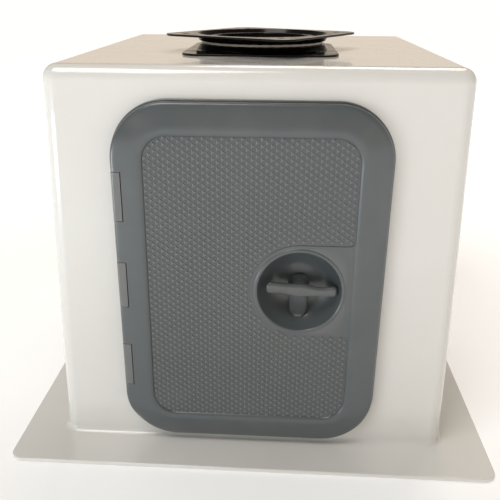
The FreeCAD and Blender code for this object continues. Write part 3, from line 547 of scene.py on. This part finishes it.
def lid_pad():
    shell = Shells()
    shell.skin([[on_latch(x, y, out) for x, y in pad_outline(inset)] for inset, out in PAD_EDGE])
    cutter = Shells()
    turned(cutter, [(PAD_HOLE, FIELD_LEVEL - PAD_HOLE_OVERRUN),
                    (PAD_HOLE, PAD_TOP + PAD_HOLE_OVERRUN)], PAD_HOLE_STEPS)
    return carved(shell.mesh("pad"), cutter)


# the moulded non-slip pattern: raised triangles in columns
COLUMN_PITCH = 4.8
ROW_PITCH = 6.6
TRIANGLE_SINK = 0.3
TRIANGLE_RISE = 1.15
TRIANGLE_GAP = 0.34
TRIANGLE_SLOPE = 0.5
PATTERN_HALF_WIDTH = 105.6
PATTERN_HALF_HEIGHT = 155.8
PATTERN_CORNER = 23.5
PATTERN_CLEARANCE = 1.6
PATTERN_SHARP_ANGLE = math.radians(12)


def in_pattern(x, y):
    """Inside the field and clear of the pad."""
    reach_x = abs(x) - (PATTERN_HALF_WIDTH - PATTERN_CORNER)
    reach_y = abs(y) - (PATTERN_HALF_HEIGHT - PATTERN_CORNER)
    if reach_x > 0 and reach_y > 0 and math.hypot(reach_x, reach_y) > PATTERN_CORNER:
        return False
    if abs(x) > PATTERN_HALF_WIDTH or abs(y) > PATTERN_HALF_HEIGHT:
        return False
    x, y = x - DISH_ACROSS, y - DISH_UP - PAD_DROP
    clear = PAD_RADIUS + PATTERN_CLEARANCE
    if x > 0:
        return abs(y) > clear
    return math.hypot(x, y) > clear


def inset_triangle(corners, inset):
    """Move the three edges of a counter-clockwise triangle inwards by the same distance."""
    result = []
    for index in range(3):
        corner = Vector(corners[index])
        before = (Vector(corners[index - 1]) - corner).normalized()
        after = (Vector(corners[(index + 1) % 3]) - corner).normalized()
        half = math.acos(max(-1.0, min(1.0, before.dot(after)))) / 2
        result.append(corner + (before + after).normalized() * (inset / math.sin(half)))
    return result


def lid_pattern():
    shell = Shells()
    columns = int(PATTERN_HALF_WIDTH / COLUMN_PITCH) + 2
    rows = int(PATTERN_HALF_HEIGHT / ROW_PITCH) + 2
    for column in range(-columns, columns + 1):
        left = column * COLUMN_PITCH
        for row in range(-rows, rows + 1):
            low = (row + (0.5 if column % 2 else 0.0)) * ROW_PITCH
            corners = [(left, low + ROW_PITCH), (left, low),
                       (left + COLUMN_PITCH, low + ROW_PITCH / 2)]
            middle = (left + COLUMN_PITCH / 3, low + ROW_PITCH / 2)
            if not in_pattern(*middle):
                continue
            foot = inset_triangle(corners, TRIANGLE_GAP)
            head = inset_triangle(corners, TRIANGLE_GAP + TRIANGLE_SLOPE)
            shell.skin([
                [on_hatch(x, y, FIELD_LEVEL - TRIANGLE_SINK) for x, y in foot],
                [on_hatch(x, y, FIELD_LEVEL) for x, y in foot],
                [on_hatch(x, y, FIELD_LEVEL + TRIANGLE_RISE) for x, y in head],
            ])
    return shell.mesh("hatch_lid_pattern")


# A lighter copy of the hatch plastic for the raised triangles: painted light, as if the pattern were lit more than
# the field round it.
pattern_painted_light = hatch_plastic("hatch_plastic_painted_light", (0.155, 0.170, 0.172), (0.130, 0.144, 0.147))
lid = place("hatch_lid_moulding", lid_moulding(), MATERIALS["hatch_plastic"], "hatch_lid",
            "hatch_plastic")
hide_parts("hatch_lid")
place("hatch_lid_pad", lid_pad(), MATERIALS["hatch_plastic"], "hatch_lid", "hatch_plastic")
place("hatch_lid_pattern", lid_pattern(), pattern_painted_light, "hatch_lid", "hatch_plastic",
      PATTERN_SHARP_ANGLE)

# ------------------------------------------------------------ latch handle

GRIP_TOP = [(-35.2, 1.8), (-34.2, 5.2), (-31.0, 7.7), (-26.0, 7.4), (-17.7, 6.6),
            (-8.6, 6.2), (3.1, 6.1), (11.4, 4.6), (19.8, 3.0), (28.1, 3.1), (36.6, 4.2),
            (39.4, 2.6), (40.2, -0.6)]
GRIP_BOTTOM = [(-35.2, 1.2), (-34.2, -3.0), (-31.0, -4.9), (-26.0, -4.9), (-17.7, -4.8),
               (-12.0, -6.0), (-3.6, -7.8), (3.1, -8.0), (11.4, -7.4), (19.8, -6.9),
               (28.0, -6.8), (36.6, -6.8), (39.4, -4.8), (40.2, -1.4)]
GRIP_BACK = 1.6
GRIP_FRONT = 9.0
GRIP_SECTIONS = 70
GRIP_AROUND = 28
KEEL = [  # up, half width, front, back
    (3.0, 10.9, 8.0, -11.7),
    (-4.0, 10.9, 8.0, -11.7),
    (-8.0, 10.8, 7.2, -11.7),
    (-14.0, 10.6, 4.0, -11.7),
    (-20.0, 10.3, 0.8, -11.5),
    (-25.0, 10.0, -1.7, -10.6),
    (-29.0, 9.4, -3.3, -9.4),
    (-32.5, 8.2, -4.0, -7.6),
    (-35.0, 6.2, -4.1, -6.2),
    (-36.8, 3.6, -3.6, -4.6),
]
STEM = [  # out, half width, top, bottom
    (-11.7, 11.4, 11.2, -11.2),
    (-9.6, 11.4, 11.2, -11.2),
    (-8.4, 9.6, 10.2, -10.0),
    (-6.0, 8.2, 8.8, -8.0),
    (-3.0, 7.8, 7.4, -7.0),
    (0.0, 8.4, 6.2, -6.5),
    (2.2, 10.4, 5.4, -6.0),
    (4.5, 14.5, 4.4, -5.5),
]
SPINDLE = [(0.5, -28.9), (5.2, -28.9), (5.7, -28.4), (5.7, -25.0), (6.25, -24.6),
           (6.25, -11.0), (0.5, -10.9)]
BLEND_CELL = 0.42
BLEND_SMOOTHING = {"factor": 0.5, "iterations": 14}
GRIP_END_ROUND = 3.4
GRIP_LEAST_HALF = 0.2
GRIP_LEAST_DEPTH = 0.12
GRIP_SQUARENESS = 2.9
KEEL_SQUARENESS = 3.2
STEM_SQUARENESS = 2.3
HANDLE_SHARP_ANGLE = math.radians(60)


def rounded_section(half_a, half_b, count, power):
    """Points round a superellipse: a power of 2 is an ellipse, and more is squarer."""
    points = []
    for step in range(count):
        angle = 2 * math.pi * step / count
        a, b = math.cos(angle), math.sin(angle)
        points.append((half_a * math.copysign(abs(a) ** (2 / power), a),
                       half_b * math.copysign(abs(b) ** (2 / power), b)))
    return points


def grip(shell):
    top = smooth_curve(GRIP_TOP, GRIP_SECTIONS)
    bottom = smooth_curve(GRIP_BOTTOM, GRIP_SECTIONS)
    middle = (GRIP_FRONT + GRIP_BACK) / 2
    half_depth = (GRIP_FRONT - GRIP_BACK) / 2
    first, last = top[0][0], top[-1][0]
    rings = []
    for (along, high), (_, low) in zip(top, bottom):
        end = min(along - first, last - along)
        round_off = math.sqrt(max(0.0, 1 - (1 - min(1.0, end / GRIP_END_ROUND)) ** 2))
        half = max((high - low) / 2, GRIP_LEAST_HALF)
        section = rounded_section(half, half_depth * max(round_off, GRIP_LEAST_DEPTH),
                                  GRIP_AROUND, GRIP_SQUARENESS)
        rings.append([on_latch(along, (high + low) / 2 + a, middle + b) for a, b in section])
    shell.skin(rings)


def keel(shell):
    rings = []
    for up, half, front, back in KEEL:
        section = rounded_section(half, (front - back) / 2, GRIP_AROUND, KEEL_SQUARENESS)
        rings.append([on_latch(a, up, (front + back) / 2 + b) for a, b in section])
    shell.skin(rings)


def stem(shell):
    rings = []
    for out, half, top, bottom in STEM:
        section = rounded_section(half, (top - bottom) / 2, GRIP_AROUND, STEM_SQUARENESS)
        rings.append([on_latch(a, (top + bottom) / 2 + b, out) for a, b in section])
    shell.skin(rings)


def latch_handle():
    shell = Shells()
    grip(shell)
    keel(shell)
    stem(shell)
    blended = shaped(shell.mesh("grip"), [
        ("REMESH", {"mode": "VOXEL", "voxel_size": BLEND_CELL * MM}),
        ("SMOOTH", BLEND_SMOOTHING),
    ])
    shape = bmesh.new()
    shape.from_mesh(blended)
    shaft = Shells()
    turned(shaft, SPINDLE)
    shape.from_mesh(shaft.mesh("shaft"))
    mesh = bpy.data.meshes.new("latch_handle_grip")
    shape.to_mesh(mesh)
    shape.free()
    outward(mesh)
    return mesh


handle = place("latch_handle_grip", latch_handle(), MATERIALS["handle_plastic"], "latch",
               "handle_plastic", HANDLE_SHARP_ANGLE)
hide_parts("latch_handle")

# ------------------------------------------------------------ the other nodes keep their mesh

slot_of = {entry["node"]: entry["material_slot"] for entry in frame["record"]["subparts"]}
for node, piece in frame["nodes"].items():
    if node in ("hatch_lid", "latch_handle"):
        continue
    piece.data.materials.clear()
    piece.data.materials.append(MATERIALS[slot_of[node]])

# ------------------------------------------------------------ floor, light and camera

FLOOR_HALF = 300.0
FLOOR_LEVEL = -0.0006
GLOW_NEAR, GLOW_FAR = 0.26, 0.76
GLOW_FROM, GLOW_TO = 0.45, 1.8


def floor():
    """A pale floor that gives off more light away from the object, for a white surround."""
    shape = Surface("floor", IOR=1.4)
    shape.colour(shape.spread(shape.noise(2.0, 3), 0.0, 1.0), (0.90, 0.90, 0.90),
                 (0.88, 0.88, 0.88))
    shape.roughness(shape.noise(15, 3), 0.7, 0.8)
    shape.shader.inputs["Emission Color"].default_value = (1.0, 1.0, 1.0, 1.0)
    away = shape.node("ShaderNodeVectorMath", operation="LENGTH")
    shape.link(shape.place, away.inputs[0])
    glow = shape.spread(away.outputs["Value"], GLOW_NEAR, GLOW_FAR, GLOW_FROM, GLOW_TO)
    shape.link(glow, shape.shader.inputs["Emission Strength"])
    mesh = bpy.data.meshes.new("floor")
    corners = [(-FLOOR_HALF, -FLOOR_HALF), (FLOOR_HALF, -FLOOR_HALF),
               (FLOOR_HALF, FLOOR_HALF), (-FLOOR_HALF, FLOOR_HALF)]
    mesh.from_pydata([(x, y, FLOOR_LEVEL) for x, y in corners], [], [(0, 1, 2, 3)])
    mesh.materials.append(shape.material)
    piece = bpy.data.objects.new("floor", mesh)
    bpy.context.scene.collection.objects.link(piece)
    return piece


def lamp(name, place_at, look_at, wide, high, power, colour=(1.0, 1.0, 1.0)):
    data = bpy.data.lights.new(name, "AREA")
    data.shape = "RECTANGLE"
    data.size = wide
    data.size_y = high
    data.energy = power
    data.color = colour
    piece = bpy.data.objects.new(name, data)
    piece.location = place_at
    aim = Vector(look_at) - Vector(place_at)
    piece.rotation_euler = aim.to_track_quat("-Z", "Y").to_euler()
    bpy.context.scene.collection.objects.link(piece)
    return piece


LOW_LEFT = (-0.1, -0.25, 0.1)

middle = (cad_low + cad_high) / 2
stage = [
    floor(),
    lamp("key", (-0.8, -1.05, 2.7), middle, 1.3, 1.3, 29, (1.0, 0.985, 0.96)),
    lamp("window", (-0.95, -1.0, 0.14), LOW_LEFT, 0.5, 0.22, 3.0, (0.78, 0.89, 1.0)),
    lamp("right", (2.0, -1.0, 0.9), middle, 0.4, 1.2, 1.8, (0.93, 0.97, 1.0)),
    lamp("overhead", (0.3, 1.0, 2.0), middle, 1.2, 0.8, 17, (1.0, 0.90, 0.80)),
]

SKY_STRENGTH = 0.80
SKY_LOW = (0.13, (0.86, 0.735, 0.60, 1.0))
SKY_HIGH = (0.28, (0.26, 0.235, 0.205, 1.0))

world = bpy.data.worlds.new("studio")
world.use_nodes = True
sky = world.node_tree
backdrop = sky.nodes["Background"]
backdrop.inputs["Strength"].default_value = SKY_STRENGTH
heading = sky.nodes.new("ShaderNodeSeparateXYZ")
sky.links.new(sky.nodes.new("ShaderNodeTexCoord").outputs["Generated"],
              heading.inputs["Vector"])
fade = sky.nodes.new("ShaderNodeValToRGB")
sky.links.new(heading.outputs["Z"], fade.inputs["Fac"])
for element, (height, tint) in zip(fade.color_ramp.elements, (SKY_LOW, SKY_HIGH)):
    element.position = height
    element.color = tint
sky.links.new(fade.outputs["Color"], backdrop.inputs["Color"])
bpy.context.scene.world = world

CAMERA_PLACE = (0.0273, -0.8406, 0.4873)
CAMERA_YAW = math.radians(3.45)
CAMERA_PITCH = math.radians(24.03)
CAMERA_ROLL = math.radians(0.26)
CAMERA_LENS = 45.93
CAMERA_SHIFT = (0.0126, 0.0435)
CAMERA_SENSOR = 36.0
CAMERA_NEAR = 0.01
EXPOSURE = 0.08

ahead = Vector((-math.sin(CAMERA_YAW) * math.cos(CAMERA_PITCH),
                math.cos(CAMERA_YAW) * math.cos(CAMERA_PITCH), -math.sin(CAMERA_PITCH)))
level = Vector((math.cos(CAMERA_YAW), math.sin(CAMERA_YAW), 0.0))
above = level.cross(ahead)
right = level * math.cos(CAMERA_ROLL) + above * math.sin(CAMERA_ROLL)
above = right.cross(ahead)
camera_data = bpy.data.cameras.new("camera")
camera_data.lens = CAMERA_LENS
camera_data.sensor_width = CAMERA_SENSOR
camera_data.shift_x, camera_data.shift_y = CAMERA_SHIFT
camera_data.clip_start = CAMERA_NEAR
camera = bpy.data.objects.new("camera", camera_data)
turn = Matrix((right, above, -ahead)).transposed().to_4x4()
turn.translation = Vector(CAMERA_PLACE)
camera.matrix_world = turn
bpy.context.scene.collection.objects.link(camera)
bpy.context.scene.camera = camera
bpy.context.scene.view_settings.view_transform = "Standard"
bpy.context.scene.view_settings.exposure = EXPOSURE
